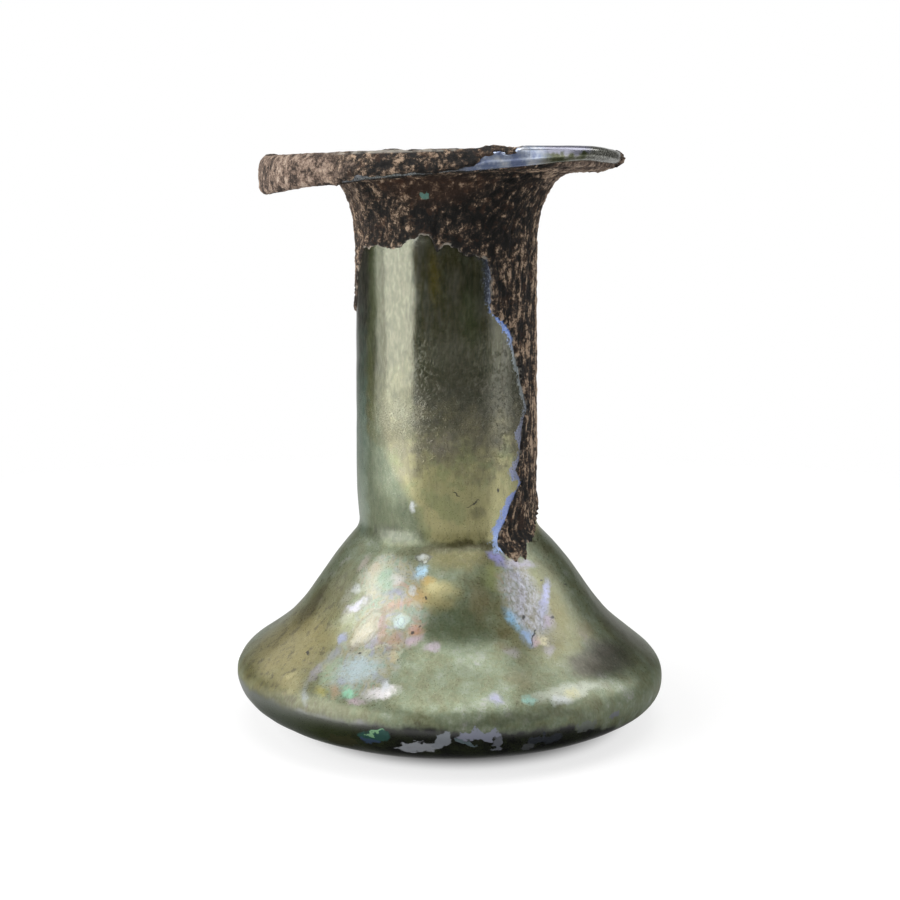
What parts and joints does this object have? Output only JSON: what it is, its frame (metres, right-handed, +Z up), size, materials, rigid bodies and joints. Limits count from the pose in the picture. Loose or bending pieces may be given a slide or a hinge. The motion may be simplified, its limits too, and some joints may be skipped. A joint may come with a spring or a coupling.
{
  "type": "glass bottle",
  "caption": "Hand-blown glass bottle with a low bell-shaped body, a wide straight neck and a broad folded rim, open at the mouth, for oil or scent.",
  "frame": {"origin": "on the standing plane, at the middle of the body", "axes": "+Z up along the neck, +X to the side where the rim's folded edge is thinnest, -Y to the front seen in the picture"},
  "size_m": [0.0683, 0.068, 0.0905],
  "materials": {
    "weathered_glass": "olive-green glass under a silvery, iridescent weathering film",
    "burial_crust": "rough brown burial crust on the rim and the upper neck"
  },
  "bodies": {
    "root": {"bottle": "weathered_glass"}
  },
  "joints": []
}
